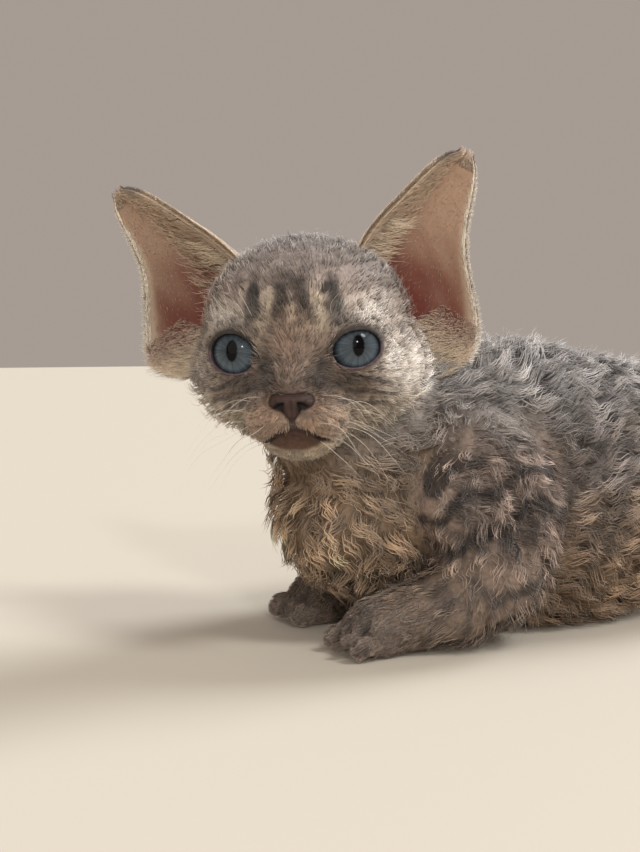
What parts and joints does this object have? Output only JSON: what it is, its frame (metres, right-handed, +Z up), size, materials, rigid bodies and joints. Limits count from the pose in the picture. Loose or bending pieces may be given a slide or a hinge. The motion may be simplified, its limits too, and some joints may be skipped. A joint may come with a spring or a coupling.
{
  "type": "devon rex kitten",
  "caption": "Curly-coated kitten with very large low-set ears, standing low with its belly near the floor and its head turned to its left.",
  "frame": {"origin": "on the floor, under the middle of the whole animal's box", "axes": "+X towards the tail (the body faces -X), +Y to the kitten's right, +Z up"},
  "size_m": [0.2832, 0.0818, 0.1185],
  "materials": {
    "coat": "short curly grey-brown tabby coat",
    "face": "short flat tabby fur",
    "ear": "bare warm skin inside, down outside",
    "nose": "moist brown leather",
    "eye": "wet blue-grey"
  },
  "bodies": {
    "root": {"chest": "coat", "abdomen": "coat", "neck": "coat", "head": "face", "nose": "nose", "eye_left": "eye", "eye_right": "eye", "ear_left": "ear", "ear_right": "ear", "upper_arm_left": "coat", "upper_arm_right": "coat", "forearm_left": "coat", "forearm_right": "coat", "front_paw_left": "coat", "front_paw_right": "coat", "thigh_left": "coat", "thigh_right": "coat", "shank_left": "coat", "shank_right": "coat", "hind_paw_left": "coat", "hind_paw_right": "coat", "tail_root": "coat", "tail_middle": "coat", "tail_tip": "coat"}
  },
  "joints": []
}
